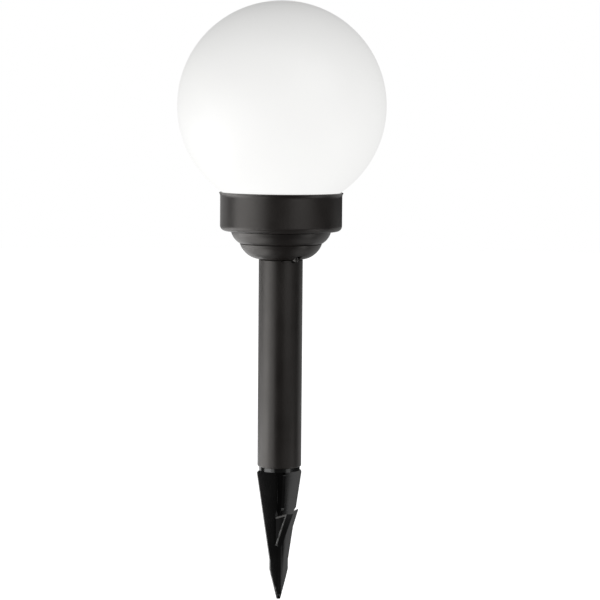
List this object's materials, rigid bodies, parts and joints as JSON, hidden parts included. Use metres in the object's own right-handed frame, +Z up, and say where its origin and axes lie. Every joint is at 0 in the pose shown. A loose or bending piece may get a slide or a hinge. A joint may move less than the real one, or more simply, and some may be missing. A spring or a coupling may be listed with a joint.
{
  "type": "solar spike light",
  "caption": "Solar garden light: opal globe in a dark collar with a flared lip, on a stepped base, a push-fit pole and a barbed ground spike.",
  "frame": {"origin": "on the pole's axis at ground level, where the pole stands on the spike's shoulder", "axes": "+Z up along the pole, -Y towards the front of the light"},
  "size_m": [0.15, 0.15, 0.433],
  "materials": {
    "opal_plastic": "satin opal",
    "dark_plastic": "satin moulded",
    "black_plastic": "glossy moulded",
    "inner_plastic": "matt moulded",
    "screw_steel": "zinc plated",
    "pin_steel": "satin",
    "gasket_rubber": "matt",
    "board_green": "solder mask",
    "silicon_blue": "anti-reflection coat",
    "clear_resin": "clear",
    "led_epoxy": "clear",
    "tinned_metal": "tinned",
    "chip_black": "moulded epoxy",
    "ferrite": "sintered",
    "ceramic_tan": "fired",
    "switch_white": "gloss",
    "battery_can": "nickel plated",
    "sleeve_green": "shrink film",
    "wire_red": "insulation",
    "wire_black": "insulation",
    "wire_white": "insulation"
  },
  "bodies": {
    "spike": {"ground_spike": "black_plastic"},
    "pole": {"pole_tube": "dark_plastic"},
    "head": {"stepped_base": "dark_plastic", "locating_pin": "pin_steel", "collar_housing": "dark_plastic", "base_screws": "screw_steel", "globe_gasket": "gasket_rubber", "solar_deck": "inner_plastic", "deck_screws": "screw_steel", "panel_board": "board_green", "solar_cells": "silicon_blue", "panel_window": "clear_resin", "led_lenses": "led_epoxy", "led_leads": "tinned_metal", "circuit_board": "board_green", "board_screws": "screw_steel", "driver_chip": "chip_black", "inductor": "ferrite", "capacitor": "ceramic_tan", "switch_body": "chip_black", "battery_holder": "inner_plastic", "holder_screws": "screw_steel", "battery_cell": "battery_can", "battery_sleeve": "sleeve_green", "battery_spring": "tinned_metal", "contact_plates": "tinned_metal", "solar_wire_red": "wire_red", "solar_wire_black": "wire_black", "battery_wire_red": "wire_red", "battery_wire_black": "wire_black", "led_wires": "wire_white"},
    "globe": {"globe_diffuser": "opal_plastic", "bayonet_ring": "opal_plastic"},
    "switch": {"switch_slider": "switch_white"}
  },
  "joints": [
    {"name": "pole_pull", "type": "slide", "parent": "spike", "child": "pole", "axis": [0, 0, 1], "range_m": [0, 0.03]},
    {"name": "head_pull", "type": "slide", "parent": "pole", "child": "head", "axis": [0, 0, 1], "range_m": [0, 0.03]},
    {"name": "globe_twist", "type": "hinge", "parent": "head", "child": "globe", "pos_m": [0, 0, 0.19], "axis": [0, 0, 1], "range_deg": [0, 39]},
    {"name": "switch_slide", "type": "slide", "parent": "head", "child": "switch", "axis": [1, 0, 0], "range_m": [0, 0.0024]}
  ]
}
